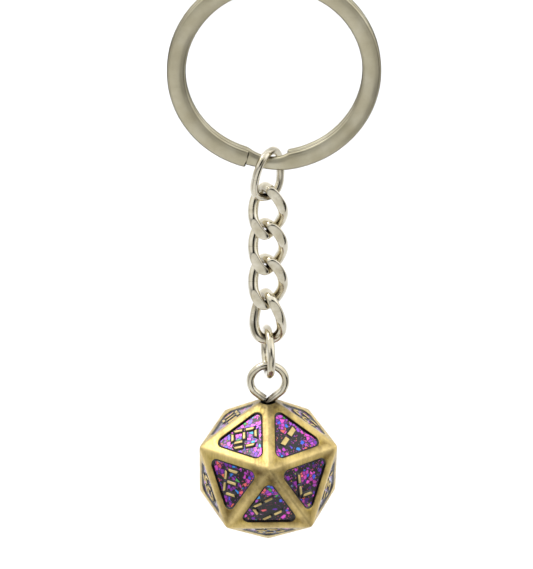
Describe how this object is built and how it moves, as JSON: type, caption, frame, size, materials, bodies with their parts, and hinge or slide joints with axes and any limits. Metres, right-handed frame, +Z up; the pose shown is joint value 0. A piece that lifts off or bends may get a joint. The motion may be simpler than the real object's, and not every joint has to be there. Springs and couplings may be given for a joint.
{
  "type": "polyhedral die keychain",
  "caption": "Metal twenty-sided die with numbered, resin-filled faces, hung from a split key ring by a short curb chain, a jump ring and a screw eye.",
  "frame": {"origin": "inner top of the split ring, where a hook or a finger holds it", "axes": "+Z up along the hanging chain, +Y to the back, +X to the right; one corner of the die points to -Y"},
  "size_m": [0.032, 0.0224, 0.0953],
  "materials": {
    "antique_brass": "worn antique, brushed on the ridges and dark in the recesses",
    "glitter_resin": "glossy resin with purple, pink and blue glitter flakes",
    "bright_nickel": "polished warm nickel",
    "satin_nickel": "satin nickel with brighter rounded edges"
  },
  "bodies": {
    "ring": {"split_ring": "satin_nickel"},
    "link_1": {"curb_link_1": "bright_nickel"},
    "link_2": {"curb_link_2": "bright_nickel"},
    "link_3": {"curb_link_3": "bright_nickel"},
    "link_4": {"curb_link_4": "bright_nickel"},
    "link_5": {"curb_link_5": "bright_nickel"},
    "jump": {"jump_ring": "bright_nickel"},
    "die": {"die_body": "antique_brass", "screw_eye": "bright_nickel", "inlay_01": "glitter_resin", "inlay_02": "glitter_resin", "inlay_03": "glitter_resin", "inlay_04": "glitter_resin", "inlay_05": "glitter_resin", "inlay_06": "glitter_resin", "inlay_07": "glitter_resin", "inlay_08": "glitter_resin", "inlay_09": "glitter_resin", "inlay_10": "glitter_resin", "inlay_11": "glitter_resin", "inlay_12": "glitter_resin", "inlay_13": "glitter_resin", "inlay_14": "glitter_resin", "inlay_15": "glitter_resin", "inlay_16": "glitter_resin", "inlay_17": "glitter_resin", "inlay_18": "glitter_resin", "inlay_19": "glitter_resin", "inlay_20": "glitter_resin"}
  },
  "joints": [
    {"name": "link_1_swing", "type": "hinge", "parent": "ring", "child": "link_1", "pos_m": [-0.0009, 0, -0.02815], "axis": [1, 0, 0], "range_deg": [-75, 75]},
    {"name": "link_2_rock", "type": "hinge", "parent": "link_1", "child": "link_2", "pos_m": [-0.0009, 0, -0.03311], "axis": [0, 1, 0], "range_deg": [-16, 32]},
    {"name": "link_3_swing", "type": "hinge", "parent": "link_2", "child": "link_3", "pos_m": [-0.0009, 0, -0.03914], "axis": [1, 0, 0], "range_deg": [-18, 18]},
    {"name": "link_4_rock", "type": "hinge", "parent": "link_3", "child": "link_4", "pos_m": [-0.0009, 0, -0.04508], "axis": [0, 1, 0], "range_deg": [-26, 26]},
    {"name": "link_5_rock", "type": "hinge", "parent": "link_4", "child": "link_5", "pos_m": [-0.0009, 0, -0.05102], "axis": [0, 1, 0], "range_deg": [-20, 20]},
    {"name": "jump_swing", "type": "hinge", "parent": "link_5", "child": "jump", "pos_m": [-0.0009, 0, -0.05779], "axis": [0.9914, 0.1305, 0], "range_deg": [-110, 110]},
    {"name": "die_rock", "type": "hinge", "parent": "jump", "child": "die", "pos_m": [-0.0009, 0, -0.06352], "axis": [-0.1305, 0.9914, 0], "range_deg": [-120, 120]}
  ]
}
